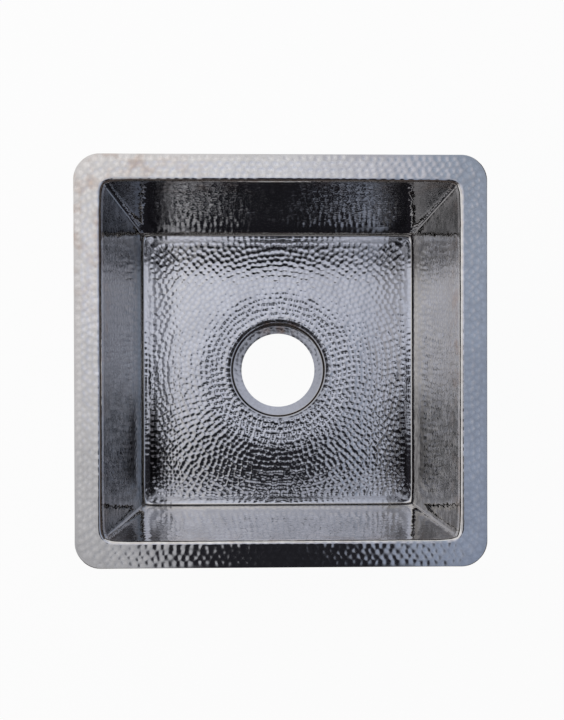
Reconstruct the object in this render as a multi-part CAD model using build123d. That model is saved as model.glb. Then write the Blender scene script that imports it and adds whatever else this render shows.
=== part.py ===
from build123d import *
import os
from math import cos, radians, sqrt, tan

# Square prep sink in hammered copper sheet, nickel plated, with a flat flange round one bowl and a
# stepped seat for a basket strainer in the middle of the floor.
# Millimetres. +Z is up, +Y is towards the back, and the origin is on the drain's axis in the plane
# of the seat's underside, which is the lowest face of the sink.

# The sheet and the fusion welds
sheet = 1.6              # thickness of the copper sheet everywhere
weld_gap = 2.4           # width of a butt weld between two sheet edges
weld_crown = 0.6         # how far a bead stands out on the hidden side; the bowl side is flush

# The bowl
bowl_side = 331.2        # between the inner wall faces, measured in the plane of the rim
bowl_corner_r = 12.0     # inner corner radius in the plane of the rim
bowl_depth = 177.8       # from the rim down to the flat of the floor
wall_draft = 0.95        # degrees that each wall leans in towards the floor

# The floor pan
upstand_height = 6.0     # the pan's turned-up edge, above the foot of the wall
foot_r = 2.5             # inside radius between wall and floor
margin_width = 8.0       # sloping margin between the foot of the wall and the crease
margin_rise = 1.05       # how much the margin climbs to the wall
crease_corner_r = 20.0   # corner radius of the crease round the flat field
dish_width = 47.0        # ring of floor round the drain that falls towards it
floor_fall = 1.5         # height lost across that ring

# The strainer seat
drain_r = 44.45          # hole for a 3 1/2 in basket strainer
ledge_width = 11.15      # flat ledge and its foot radius, where the strainer's flange sits
recess_depth = 7.1       # from the floor's lowest ring down to the ledge
recess_foot_r = 1.4      # inside radius between ledge and step
recess_lip_r = 1.8       # rounded upper edge of the step
brim_width = 4.0         # flat brim outside the step, butt welded to the floor pan

# The flange
lip_depth = 8.0          # the rim's turned-down lip, which meets the walls edge to edge
roll_r = 3.2             # rolled edge between flange and lip
flange_width = 24.9      # from the inner wall face to the outer edge
flange_corner_r = 24.0   # outer corners
edge_width = 6.5         # outer border of the flange that leans down
edge_drop = 0.8          # how far it leans down

# Heights that follow from these
ledge_z = sheet
brim_z = ledge_z + recess_depth
floor_z = brim_z + floor_fall
foot_z = floor_z + margin_rise
upstand_z = foot_z + upstand_height
rim_z = floor_z + bowl_depth
lip_z = rim_z - lip_depth
wall_low_z = upstand_z + weld_gap
wall_high_z = lip_z - weld_gap

# Plan sizes that follow from these
recess_r = drain_r + ledge_width
brim_r = recess_r + recess_lip_r + brim_width
pan_hole_r = brim_r + weld_gap
rim_side = bowl_side + 2 * flange_width
reach = rim_side         # far enough for any cutting block
hair = 0.01              # heights that differ by less than this are the same

sides = {"back": 0, "left": 90, "front": 180, "right": 270}
corners = {"back_left": 0, "front_left": 90, "front_right": 180, "back_right": 270}


def narrowing(z):
    # How far each wall has leaned in at height z, seen from the rim
    return (rim_z - z) * tan(radians(wall_draft))


def wall_outline(z, outset=0.0):
    # Rounded square on the inner wall faces at height z, or that far outside them
    out = outset / cos(radians(wall_draft))
    side = bowl_side - 2 * narrowing(z) + 2 * out
    corner = bowl_corner_r - narrowing(z) + out
    return Pos(0, 0, z) * RectangleRounded(side, side, corner)


def wall_block(z_low, z_high, outset=0.0):
    # Everything within the walls between two heights, grown by the outset
    return loft([wall_outline(z_low, outset), wall_outline(z_high, outset)], ruled=True)


def wall_band(z_low, z_high, thickness):
    # A closed band of wall of the given thickness, flush with the inner face
    return wall_block(z_low, z_high, thickness) - wall_block(z_low, z_high)


def plan_wedge(gap):
    # The quarter of the plan towards the back, kept half a gap clear of both diagonals
    tip = gap / sqrt(2)
    outline = Polyline((0, tip), (reach, reach + tip), (-reach, reach + tip), close=True)
    return Pos(0, 0, -reach) * extrude(make_face(outline), 3 * reach)


def diagonal_slab(width):
    # A slab of the given width along the diagonal from the axis to the back left corner
    slab = Pos(reach / 2, 0, reach / 2) * Box(reach, width, 3 * reach)
    return Rot(Z=135) * slab


def name_by_side(stem, whole, gap):
    # Cuts a part that runs round the bowl into its four sides
    wedge = plan_wedge(gap)
    return {f"{stem}_{side}": whole & (Rot(Z=turn) * wedge) for side, turn in sides.items()}


def name_by_corner(stem, whole):
    # Keeps what lies in the weld gap at each of the four corners
    slab = diagonal_slab(weld_gap)
    return {f"{stem}_{corner}": whole & (Rot(Z=turn) * slab) for corner, turn in corners.items()}


def level_edges(solid, z, within):
    # Edges in the plane at height z whose middles are that near the axis, along X and along Y
    found = []
    for edge in solid.edges():
        middle = edge.center()
        if abs(middle.Z - z) < hair and max(abs(middle.X), abs(middle.Y)) < within:
            found.append(edge)
    return found


# Walls: four sheets, each rolled round half of both its corners, welded edge to edge in the corners


def walls():
    return name_by_side("wall", wall_band(wall_low_z, wall_high_z, sheet), weld_gap)


def corner_welds():
    return name_by_corner("corner_weld", wall_band(wall_low_z, wall_high_z, sheet + weld_crown))


# Floor pan: one sheet with a flat field, a dished ring round the drain, a margin that climbs to the
# walls and a turned-up edge


def crease_outline(z):
    side = bowl_side - 2 * narrowing(foot_z) - 2 * margin_width
    return Pos(0, 0, z) * RectangleRounded(side, side, crease_corner_r)


def pan_space(outset):
    # What lies above the pan's upper face, or, with the sheet as outset, above its lower face
    foot = foot_z - outset
    sides_space = wall_block(foot, upstand_z, outset)
    margin = loft([crease_outline(floor_z - outset), wall_outline(foot, outset)], ruled=True)
    space = sides_space + margin
    space = fillet(level_edges(space, foot, reach), foot_r + outset)
    dish = Cone(pan_hole_r, pan_hole_r + dish_width, floor_fall)
    return space + Pos(0, 0, brim_z + floor_fall / 2 - outset) * dish


def floor_pan():
    hole = Cylinder(pan_hole_r, reach)
    return pan_space(sheet) - pan_space(0.0) - hole


def floor_welds():
    bead = wall_band(upstand_z, wall_low_z, sheet + weld_crown)
    return name_by_side("floor_weld", bead, 0.0)


# Strainer seat: a spun ring with a ledge, a step and a flat brim


def drain_seat():
    step_r = recess_r + sheet
    profile = Polyline(
        (drain_r, 0),
        (step_r, 0),
        (step_r, brim_z - sheet),
        (brim_r, brim_z - sheet),
        (brim_r, brim_z),
        (recess_r, brim_z),
        (recess_r, ledge_z),
        (drain_r, ledge_z),
        close=True,
    )
    section = make_face(profile)
    bends = {
        (step_r, 0): recess_foot_r + sheet,
        (step_r, brim_z - sheet): recess_lip_r - sheet,
        (recess_r, brim_z): recess_lip_r,
        (recess_r, ledge_z): recess_foot_r,
    }
    for (x, y), radius in bends.items():
        bend = section.vertices().sort_by_distance((x, y, 0))[0]
        section = fillet(bend, radius)
    return revolve(Plane.XZ * section, Axis.Z)


def drain_weld():
    height = sheet + weld_crown
    ring = Cylinder(pan_hole_r, height) - Cylinder(brim_r, height)
    return Pos(0, 0, brim_z - height / 2) * ring


# Rim: four flange strips, each with its rolled edge and lip, mitred and welded at the corners


def flange_top(drop):
    # What lies below the flange's upper face, or that face moved down by the drop
    outer = RectangleRounded(rim_side, rim_side, flange_corner_r)
    flat_side = rim_side - 2 * edge_width
    flat = RectangleRounded(flat_side, flat_side, flange_corner_r - edge_width)
    edge_z = rim_z - edge_drop - drop
    body = Pos(0, 0, lip_z) * extrude(outer, edge_z - lip_z)
    return body + loft([Pos(0, 0, edge_z) * outer, Pos(0, 0, rim_z - drop) * flat], ruled=True)


def rim_frame():
    # Flange and lip in one piece round the whole opening
    flange = flange_top(0.0) - flange_top(sheet)
    frame = flange + wall_block(lip_z, rim_z, sheet) - wall_block(lip_z, rim_z)
    mouth_half = bowl_side / 2
    frame = fillet(level_edges(frame, rim_z, mouth_half + sheet), roll_r)
    return fillet(level_edges(frame, rim_z - sheet, mouth_half + 2 * sheet), roll_r - sheet)


def rims():
    return name_by_side("rim", rim_frame(), weld_gap)


def rim_miter_welds():
    return name_by_corner("rim_miter_weld", rim_frame())


def rim_welds():
    bead = wall_band(wall_high_z, lip_z, sheet + weld_crown)
    return name_by_side("rim_weld", bead, 0.0)


pieces = {"floor_pan": floor_pan(), "drain_seat": drain_seat(), "drain_weld": drain_weld()}
for group in (walls, corner_welds, floor_welds, rims, rim_miter_welds, rim_welds):
    pieces.update(group())

os.makedirs("parts", exist_ok=True)
for name, piece in pieces.items():
    export_step(piece, f"parts/{name}.step")
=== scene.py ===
import math
import random
from functools import partial

import bpy
from mathutils import Matrix, Vector
from mathutils.geometry import delaunay_2d_cdt


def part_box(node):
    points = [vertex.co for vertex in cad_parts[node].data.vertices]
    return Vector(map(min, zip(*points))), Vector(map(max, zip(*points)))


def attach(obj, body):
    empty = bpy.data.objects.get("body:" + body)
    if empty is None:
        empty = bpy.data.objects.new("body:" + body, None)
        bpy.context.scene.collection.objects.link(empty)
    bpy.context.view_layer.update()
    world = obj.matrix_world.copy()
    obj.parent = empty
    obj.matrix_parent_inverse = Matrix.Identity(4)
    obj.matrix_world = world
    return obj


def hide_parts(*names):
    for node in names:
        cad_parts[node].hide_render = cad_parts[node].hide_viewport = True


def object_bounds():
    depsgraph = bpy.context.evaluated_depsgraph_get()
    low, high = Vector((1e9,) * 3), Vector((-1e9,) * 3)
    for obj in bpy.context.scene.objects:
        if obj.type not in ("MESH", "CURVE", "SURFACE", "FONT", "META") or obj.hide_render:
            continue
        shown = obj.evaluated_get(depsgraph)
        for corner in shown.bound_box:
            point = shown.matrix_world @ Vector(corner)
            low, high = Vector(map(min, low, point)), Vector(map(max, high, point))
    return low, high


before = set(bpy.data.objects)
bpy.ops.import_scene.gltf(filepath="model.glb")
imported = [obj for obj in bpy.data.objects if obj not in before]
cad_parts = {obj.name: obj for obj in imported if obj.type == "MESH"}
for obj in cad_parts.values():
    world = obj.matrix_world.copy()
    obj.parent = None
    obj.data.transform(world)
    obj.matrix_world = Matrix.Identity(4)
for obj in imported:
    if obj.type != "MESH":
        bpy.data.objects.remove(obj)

# Square prep sink: four rolled wall sheets, a floor pan, a spun strainer seat and a mitred flange,
# all hammered copper sheet, butt welded, planished and nickel plated.
# Lengths are millimetres and angles radians until a mesh, a socket or a card takes them.

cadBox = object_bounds()
mm = 0.001
quarterTurn = math.pi / 2
eighthTurn = math.pi / 4
sides = {"back": 0, "left": 1, "front": 2, "right": 3}    # quarter turns from the back
corners = {"back_left": 0, "front_left": 1, "front_right": 2, "back_right": 3}


def topOf(node):
    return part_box(node)[1].z / mm


def footOf(node):
    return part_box(node)[0].z / mm


def halfWidthOf(node):
    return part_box(node)[1].y / mm


# What the solids give: heights above the seat's underside, and half widths
rimZ = topOf("rim_back")
lipZ = footOf("rim_back")
wallHighZ = topOf("wall_back")
wallLowZ = footOf("wall_back")
upstandZ = topOf("floor_pan")
brimZ = topOf("drain_seat")
rimHalf = halfWidthOf("rim_back")
brimR = halfWidthOf("drain_seat")
panHoleR = halfWidthOf("drain_weld")

sheet = {
    "thickness": 1.6,
    "weldGap": 2.4,
    "weldCrown": 0.6,      # how far a bead stands out on the hidden side
    "faceCrown": 0.06,     # what planishing has left of the corner beads on the bowl side
    "ripplePitch": 2.4,
    "rippleHeight": 0.12,
    "beadGrid": 0.6,       # mesh spacing across the beads along the floor and the rim
    "beadFaces": 4,        # and faces across the others
}
bowl = {
    "side": 331.2,         # between the walls, in the plane of the rim
    "cornerRadius": 12.0,
    "draft": 0.95,         # degrees
    "easeLength": 22.0,    # how far along the straight the bend of a rolled corner starts
    "easeIn": 0.5,         # how far that early bend stands into the bowl
    "easeOut": 0.8,        # how far the corner's middle stands out past a plain arc, which makes it tight
    "marksFrom": (1.0, 6.0),      # heights above the foot between which the marks come in
    "rubbed": 0.7,                # how thin the plate is rubbed at the rim
    "rubbedFrom": (45.0, 8.0),    # depths below the rim between which that comes in
    "grid": 1.05,                 # mesh spacing
}
draft = math.radians(bowl["draft"])
cornerCentre = bowl["side"] / 2 - bowl["cornerRadius"]    # the same at every height of the wall


def wallHalf(z):
    return bowl["side"] / 2 - (rimZ - z) * math.tan(draft)


# A skin is the bowl-side face of a sheet. It is a grid of stations, from one edge of the sheet to the
# other, by columns, which run round the bowl.
# A station is (half width, corner radius, height, lean, marked, dark tone, rubbed): lean is the angle of
# the face's normal above the horizontal. The last three go from 0 to 1: how deep the hammer marks are
# there, how far the colour is darkened (painted shade beside the floor's side creases, and a darker
# step in the strainer seat), and how thin the plate is rubbed.
# A column is (quarter turn, place along the straight from -1 to 1, arc up to the weld, arc into it).


def evenCount(length, step):
    return 2 * max(1, round(length / step / 2))


def spread(low, high, count):
    return [low + (high - low) * i / count for i in range(count + 1)]


def blend(first, last, share):
    return tuple(a + (b - a) * share for a, b in zip(first, last))


def smooth(low, high, value):
    # 0 at low, 1 at high, whichever of the two is the larger
    share = min(1.0, max(0.0, (value - low) / (high - low)))
    return share * share * (3 - 2 * share)


def sideColumns(side, step, radius):
    arc = evenCount(radius * eighthTurn, step)
    straight = evenCount(2 * cornerCentre, step)
    columns = [(side, -1.0, t, 0.0) for t in spread(-1.0, 0.0, arc)[:-1]]
    columns += [(side, s, 0.0, 0.0) for s in spread(-1.0, 1.0, straight)[:-1]]
    return columns + [(side, 1.0, t, 0.0) for t in spread(0.0, 1.0, arc)]


def loopColumns(step, radius):
    return [column for side in range(4) for column in sideColumns(-side, step, radius)[:-1]]


def ringColumns(count):
    return [(-side, 0.0, t, 0.0) for side in range(4) for t in spread(-1.0, 1.0, count // 4)[:-1]]


def beadColumns(side):
    return [(side, -1.0, -1.0, -b) for b in spread(0.0, 2.0, sheet["beadFaces"])]


def cornerEase(reach, along, angle):
    # How far a rolled corner stands into the bowl from straights with a plain arc between them
    if reach == 0:
        return 0.0
    inset, length = bowl["easeIn"], bowl["easeLength"]
    straight = (1 - abs(along)) * reach
    if straight > 0:
        return inset * max(0.0, 1 - straight / length) ** 2
    share = abs(angle) / eighthTurn
    share = min(share, 2 - share)
    run = 2 * inset / length * bowl["cornerRadius"] * eighthTurn
    return inset + run * share - (inset + run + bowl["easeOut"]) * share * share


def skinPoint(station, column, gap):
    half, corner, z, lean = station[:4]
    side, along, arc, into = column
    held = math.asin(gap / 2 / corner)    # the half of the weld gap, as an angle of the corner
    angle = arc * (eighthTurn - held) + into * held
    reach = half - corner
    out = Vector((math.sin(angle), math.cos(angle), 0.0))
    eased = cornerEase(reach, along, angle) * math.cos(lean)
    place = Vector((along * reach, reach, z)) + (corner - eased) * out
    facing = Vector((0.0, 0.0, math.sin(lean))) - math.cos(lean) * out
    turn = Matrix.Rotation(side * quarterTurn, 3, "Z")
    return turn @ place, turn @ facing


def gridFaces(grid, closed):
    faces = []
    for low, high in zip(grid, grid[1:]):
        for j in range(len(low) - (0 if closed else 1)):
            k = (j + 1) % len(low)
            faces.append((low[j], low[k], high[k], high[j]))
    return faces


def seamFaces(fine, coarse, closed):
    # Joins an edge of the skin to the edge behind it, which has half as many points
    faces = []
    for j in range(len(coarse) - (0 if closed else 1)):
        k = (j + 1) % len(coarse)
        faces.append((fine[(2 * j + 2) % len(fine)], fine[2 * j + 1], fine[2 * j], coarse[j], coarse[k]))
    return faces


def turnedOver(faces):
    return [tuple(reversed(face)) for face in faces]


class Body:
    # Collects the points of one piece, each with the skin point that it belongs to. The hidden side of a
    # sheet is every second point of the skin, one thickness away
    labels = ("marked", "darkTone", "rubbed", "hollow", "across", "hidden")

    def __init__(self):
        self.places, self.skins, self.facings, self.values, self.faces = [], [], [], [], []

    def add(self, skin, facing, finish, behind=0.0, across=0.0):
        # finish is (marked, dark tone, rubbed), and the last two are given on the bowl side only
        marked, darkTone, rubbed = (finish[0], 0.0, 0.0) if behind else finish
        self.places.append(skin - facing * behind)
        self.skins.append(skin)
        self.facings.append(facing)
        self.values.append((marked, darkTone, rubbed, 0.0, across, 1.0 if behind else 0.0))
        return len(self.places) - 1

    def addSkin(self, stations, columns, gap=0.0, beadRuns=""):
        # beadRuns is "along" where a bead runs with the columns and "up" where it runs with the stations
        front, back = [], []
        for i, station in enumerate(stations):
            frontRow, backRow = [], []
            for j, column in enumerate(columns):
                skin, facing = skinPoint(station, column, gap)
                share = i / (len(stations) - 1) if beadRuns == "along" else j / (len(columns) - 1)
                across = 2 * share - 1 if beadRuns else 0.0
                frontRow.append(self.add(skin, facing, station[4:], 0.0, across))
                if i % 2 == 0 and j % 2 == 0:
                    backRow.append(self.add(skin, facing, station[4:], sheet["thickness"], across))
            front.append(frontRow)
            if backRow:
                back.append(backRow)
        return front, back

    def facesOut(self, face):
        a, b, c = (self.places[i] for i in face[:3])
        return (b - a).cross(c - a).dot(self.facings[face[0]]) > 0

    def mesh(self, name):
        # Faces are turned by the first one, so that they all point outwards
        made = bpy.data.meshes.new(name)
        faces = self.faces if self.facesOut(self.faces[0]) else turnedOver(self.faces)
        made.from_pydata([place * mm for place in self.places], [], faces)
        for label, vectors, scale in (("skin", self.skins, mm), ("facing", self.facings, 1.0)):
            kept = made.attributes.new(label, "FLOAT_VECTOR", "POINT")
            kept.data.foreach_set("vector", [c for vector in vectors for c in vector * scale])
        for label, values in zip(self.labels, zip(*self.values)):
            made.attributes.new(label, "FLOAT", "POINT").data.foreach_set("value", values)
        made.update()
        body = bpy.data.objects.new(name, made)
        bpy.context.scene.collection.objects.link(body)
        return body


def sheetBody(name, stations, columns, gap=0.0, closed=False, beadRuns=""):
    body = Body()
    front, back = body.addSkin(stations, columns, gap, beadRuns)
    body.faces = gridFaces(front, closed) + turnedOver(gridFaces(back, closed))
    body.faces += seamFaces(front[0], back[0], closed) + turnedOver(seamFaces(front[-1], back[-1], closed))
    if not closed:
        start, end = (seamFaces([row[i] for row in front], [row[i] for row in back], False) for i in (0, -1))
        body.faces += turnedOver(start) + end
    return body.mesh(name)


# Sections of the sheets, from the lower or inner edge of each to its upper or outer edge


def wallStation(z):
    marked = smooth(footZ + bowl["marksFrom"][0], footZ + bowl["marksFrom"][1], z)
    rubbed = bowl["rubbed"] * smooth(rimZ - bowl["rubbedFrom"][0], rimZ - bowl["rubbedFrom"][1], z)
    return wallHalf(z), wallHalf(z) - cornerCentre, z, draft, marked, 0.0, rubbed


def wallStations(low, high, step):
    return [wallStation(z) for z in spread(low, high, evenCount(high - low, step))]


def oddCount(stations):
    # The hidden side needs a point behind both edges, so the number of stations is odd
    if len(stations) % 2 == 0:
        stations.insert(1, blend(stations[0], stations[1], 0.5))
    return stations


rim = {
    "rollRadius": 3.2,
    "dipWidth": 5.0,       # the roll stands a little proud of the flange beside it
    "dip": 0.2,
    "borderWidth": 6.5,    # outer border of the flange that leans down
    "borderDrop": 0.8,
    "outerCorner": 24.0,
    "edgeRound": 0.45,     # filed edge of the sheet
    "edgeLeans": (1.3 * quarterTurn, 1.6 * quarterTurn),    # steps round that edge
    "grid": 0.85,
}


def rimStations():
    radius, step = rim["rollRadius"], rim["grid"]
    centreZ = rimZ - radius
    centreHalf = wallHalf(centreZ) + radius * math.cos(draft)
    flatHalf = rimHalf - rim["borderWidth"]
    borderLean = quarterTurn + math.atan(rim["borderDrop"] / rim["borderWidth"])
    stations = [wallStation(z) for z in spread(lipZ, centreZ, evenCount(centreZ - lipZ, step))[:-1]]
    for lean in spread(draft, quarterTurn, evenCount(radius * quarterTurn, step / 2))[:-1]:
        half = centreHalf - radius * math.cos(lean)
        z = centreZ + radius * math.sin(lean)
        stations.append((half, half - cornerCentre, z, lean, 1.0, 0.0, bowl["rubbed"] * math.cos(lean)))
    rolled = (centreHalf, centreHalf - cornerCentre, rimZ, quarterTurn, 1.0, 0.0, 0.0)
    flat = (flatHalf, rim["outerCorner"] - rim["borderWidth"], rimZ, quarterTurn, 1.0, 0.0, 0.0)
    for share in spread(0, 1, evenCount(flatHalf - centreHalf, step))[:-1]:
        station = blend(rolled, flat, share)
        fallen = rim["dip"] * smooth(centreHalf, centreHalf + rim["dipWidth"], station[0])
        stations.append(station[:2] + (rimZ - fallen,) + station[3:])
    edge = rim["edgeRound"]
    flat = flat[:2] + (rimZ - rim["dip"], borderLean) + flat[4:]
    last = (rimHalf - edge, rim["outerCorner"] - edge, rimZ - rim["borderDrop"]) + flat[3:]
    stations += [blend(flat, last, s) for s in spread(0, 1, evenCount(rim["borderWidth"], step))]
    for lean in rim["edgeLeans"]:
        half = rimHalf - edge - edge * math.cos(lean)
        z = rimZ - rim["borderDrop"] - edge * (1 - math.sin(lean))
        stations.append((half, rim["outerCorner"], z) + flat[3:])
    return oddCount(stations)


floorPan = {
    "fall": 1.5,             # lost across the dished ring
    "dishWidth": 47.0,
    "dishCurve": 34.0,       # the part of that ring, next to the hole, where the fall is
    "creaseCorner": 20.0,
    "marginWidth": 8.0,
    "marginRise": 1.05,
    "marginSag": 0.07,
    "footRadius": 3.0,
    "creaseMarks": 0.55,     # how much of the marks' depth is left on the crease, so that it stays crisp
    "creaseFade": 3.5,       # width over which the rest of it comes in
    "marginMarks": 0.7,
    "footMarks": 0.5,        # and on the bend between wall and margin, where they come in
    "drainMarks": 1.3,       # and how much deeper they are beside the drain
    "drainMarksReach": 40.0,
    "rightMarks": 1.5,       # and towards the right wall, in the front half
    "rightMarksX": (30.0, 110.0),
    "rightMarksY": (80.0, 20.0),
    "curlWidth": 20.0,       # strip of the field that curls up to the crease
    "curlHeight": 0.4,
    "paintedShade": (0.85, 0.55),         # painted shade beside the left and the right crease, in the front half
    "paintedShadeFrom": (-22.0, -66.0),   # where it comes in and goes out, as places along Y
    "paintedShadeTo": (-148.0, -124.0),
    "paintedShadeWidth": (15.0, 28.0),
    "paintedShadeWidens": (-60.0, -115.0),
    "paintedShadeClear": 2.0,
    "grid": 1.3,
    "fieldGrid": 1.16,
    "underGrid": 4.0,
}
floorZ = brimZ + floorPan["fall"]
footZ = floorZ + floorPan["marginRise"]
creaseHalf = wallHalf(footZ) - floorPan["marginWidth"]
print("sizes read from the frame: rim at", round(rimZ, 2), "floor at", round(floorZ, 2))


def creaseInset(x, y):
    # Distance from the crease into the flat field
    corner = floorPan["creaseCorner"]
    past = math.hypot(max(abs(x) - creaseHalf + corner, 0), max(abs(y) - creaseHalf + corner, 0))
    return min(creaseHalf - max(abs(x), abs(y)), corner - past)


def floorHeight(x, y):
    curl = max(0.0, 1 - max(0.0, creaseInset(x, y)) / floorPan["curlWidth"]) ** 2
    dished = smooth(panHoleR + floorPan["dishCurve"], panHoleR, math.hypot(x, y))
    low = floorPan["curlHeight"]
    return floorZ - low * (1 - curl) - (floorPan["fall"] - low) * dished


def panStations():
    # From the turned-up edge down the wall, round the foot and along the margin to the crease
    step, radius = floorPan["grid"], floorPan["footRadius"]
    rise, width = floorPan["marginRise"], floorPan["marginWidth"]
    climb = math.atan(rise / width)
    marginLean = quarterTurn - climb
    tangent = radius * math.tan((marginLean - draft) / 2)
    wallFootZ = footZ + tangent
    stations = wallStations(wallFootZ, upstandZ, step)[::-1]
    high = stations.pop()
    creased = (creaseHalf, floorPan["creaseCorner"], floorZ, marginLean, floorPan["creaseMarks"], 0.0, 0.0)
    footed = (wallHalf(footZ), wallHalf(footZ) - cornerCentre, footZ, marginLean, floorPan["marginMarks"],
              0.0, 0.0)
    low = blend(footed, creased, tangent * math.cos(climb) / width)
    centreHalf = high[0] - radius * math.cos(draft)
    centreZ = wallFootZ - radius * math.sin(draft)
    for share in spread(0, 1, evenCount(radius * (marginLean - draft), step / 2))[:-1]:
        lean = draft + (marginLean - draft) * share
        corner = high[1] + (low[1] - high[1]) * share
        place = (centreHalf + radius * math.cos(lean), corner, centreZ - radius * math.sin(lean))
        stations.append(place + (lean, floorPan["footMarks"] * low[4] * share, 0.0, 0.0))
    for share in spread(0, 1, evenCount(width, step)):
        station = blend(low, creased, share)
        sag = floorPan["marginSag"] * 4 * share * (1 - share)
        stations.append(station[:2] + (station[2] - sag,) + station[3:])
    return oddCount(stations)


def fieldPoints(border, spacing, holeCount):
    # Points of the flat field: its border, the rim of the hole and a triangular grid between them
    hole = [Vector((math.cos(a), math.sin(a))) * panHoleR for a in spread(0, math.tau, holeCount)[:-1]]
    points = border + hole
    clear = 0.7 * spacing    # keeps the grid from making thin faces along both borders
    row = spacing * math.sqrt(3) / 2
    count = int(creaseHalf / row)
    across = int(creaseHalf / spacing) + 1
    for j in range(-count, count + 1):
        for i in range(-across, across):
            x, y = (i + 0.5 * (j % 2)) * spacing, j * row
            if creaseInset(x, y) > clear and math.hypot(x, y) > panHoleR + clear:
                points.append(Vector((x, y)))
    # Faces with all corners on the border are slivers outside it, and those on the rim of the hole cover it
    borderRange = range(len(border))
    holeRange = range(len(border), len(border) + holeCount)
    nearest = 1e-7    # points closer than this are one
    faces = []
    for face in delaunay_2d_cdt(points, [], [], 0, nearest)[2]:
        if not any(all(i in closed for i in face) for closed in (borderRange, holeRange)):
            faces.append(face)
    return points, faces


def fieldFinish(x, y):
    # How deep the marks are at a place of the field, and the painted shade at its sides, beside the side
    # creases
    pan = floorPan
    r = math.hypot(x, y)
    marked = pan["creaseMarks"]
    marked += (1 - marked) * smooth(0, pan["creaseFade"], creaseInset(x, y))
    marked *= 1 + (pan["drainMarks"] - 1) * smooth(panHoleR + pan["drainMarksReach"], panHoleR, r)
    harder = smooth(*pan["rightMarksX"], x) * smooth(*pan["rightMarksY"], y)
    marked *= 1 + (pan["rightMarks"] - 1) * harder
    narrow, wide = pan["paintedShadeWidth"]
    reach = narrow + (wide - narrow) * smooth(*pan["paintedShadeWidens"], y)
    darkTone = pan["paintedShade"][x > 0] * smooth(reach, pan["paintedShadeClear"], creaseHalf - abs(x))
    return marked, darkTone * smooth(*pan["paintedShadeFrom"], y) * smooth(*pan["paintedShadeTo"], y), 0.0


def addField(body, borderRow, spacing, holeCount, behind):
    border = [body.skins[i].xy for i in borderRow]
    points, faces = fieldPoints(border, spacing, holeCount)
    slope = math.atan(floorPan["fall"] / floorPan["dishWidth"])
    index = list(borderRow)
    for x, y in points[len(border):]:
        r = math.hypot(x, y)
        tilt = slope if r < panHoleR + floorPan["dishWidth"] else 0.0
        facing = Vector((-x / r * math.sin(tilt), -y / r * math.sin(tilt), math.cos(tilt)))
        index.append(body.add(Vector((x, y, floorHeight(x, y))), facing, fieldFinish(x, y), behind))
    turned = []
    for face in faces:
        a, b, c = (points[i] for i in face)
        upward = (b - a).cross(c - a) > 0
        turned.append(tuple(index[i] for i in (face if upward else reversed(face))))
    return turned, index[len(border):len(border) + holeCount]


def floorPanBody(name):
    body = Body()
    front, back = body.addSkin(panStations(), loopColumns(floorPan["grid"], bowl["cornerRadius"]))
    holeCount = evenCount(math.tau * panHoleR, floorPan["grid"])
    field, holeFront = addField(body, front[-1], floorPan["fieldGrid"], holeCount, 0.0)
    under, holeBack = addField(body, back[-1], floorPan["underGrid"], holeCount // 2, sheet["thickness"])
    grid = gridFaces(front, True) + turnedOver(gridFaces(back, True)) + seamFaces(front[0], back[0], True)
    body.faces = grid if body.facesOut(grid[0]) else turnedOver(grid)
    body.faces += field + turnedOver(under) + turnedOver(seamFaces(holeFront, holeBack, True))
    return body.mesh(name)


seat = {
    "holeR": 44.45,
    "ledgeWidth": 11.15,
    "recessDepth": 7.1,
    "footRadius": 1.4,
    "lipRadius": 1.8,
    "brimFall": 0.36,        # the brim and the ledge both fall towards the hole
    "ledgeFall": 1.1,
    "brimMarks": 0.35,       # depth of the marks, as a share of the floor's
    "ledgeMarks": 0.2,
    "darkened": (1.42, 0.7),   # leans between which the colour turns darker, on the step
    "bendFaces": 6,          # mesh faces along the lip and along the foot
    "roundFaces": 400,       # and round the seat
    "grid": 0.9,
}
ledgeZ = brimZ - seat["recessDepth"]
recessR = seat["holeR"] + seat["ledgeWidth"]


def seatStations():
    # From the edge of the brim over the lip, down the step and along the ledge to the hole
    step, bend = seat["grid"], seat["bendFaces"]
    lip, foot = seat["lipRadius"], seat["footRadius"]
    brimWidth = brimR - recessR - lip
    brimLean = quarterTurn - math.atan(seat["brimFall"] / brimWidth)
    ledgeSlope = seat["ledgeFall"] / seat["ledgeWidth"]
    ledgeLean = quarterTurn - math.atan(ledgeSlope)
    ledgeR = recessR - foot + foot * math.cos(ledgeLean)
    lipCentreZ = brimZ - seat["brimFall"] - lip * math.sin(brimLean)
    footCentreZ = ledgeZ + (ledgeR - seat["holeR"]) * ledgeSlope + foot * math.sin(ledgeLean)
    stepCount = evenCount(lipCentreZ - footCentreZ, step)
    ledgeCount = evenCount(seat["ledgeWidth"] - foot, step)
    places = []
    for share in spread(0.0, 1.0, evenCount(brimWidth, step))[:-1]:
        r = brimR - (brimWidth + lip * math.cos(brimLean)) * share
        places.append((r, brimZ - seat["brimFall"] * share, brimLean))
    for lean in spread(brimLean, 0.0, bend)[:-1]:
        places.append((recessR + lip - lip * math.cos(lean), lipCentreZ + lip * math.sin(lean), lean))
    places += [(recessR, z, 0.0) for z in spread(lipCentreZ, footCentreZ, stepCount)[:-1]]
    for lean in spread(0.0, ledgeLean, bend)[:-1]:
        places.append((recessR - foot + foot * math.cos(lean), footCentreZ - foot * math.sin(lean), lean))
    for r in spread(ledgeR, seat["holeR"], ledgeCount):
        places.append((r, ledgeZ + (r - seat["holeR"]) * ledgeSlope, ledgeLean))
    stations = []
    for r, z, lean in places:
        depth = seat["brimMarks"] if z > footCentreZ else seat["ledgeMarks"]
        stations.append((r, r, z, lean, depth * lean / quarterTurn, smooth(*seat["darkened"], lean), 0.0))
    return stations


def drainWeldStations():
    finish = (floorPan["drainMarks"], 0.0, 0.0)
    return [(r, r, brimZ, quarterTurn) + finish for r in spread(panHoleR, brimR, sheet["beadFaces"])]


# Hammer blows fall along lines: rings round the drain, rows along the crease, loops round the walls
# and the flange

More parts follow.
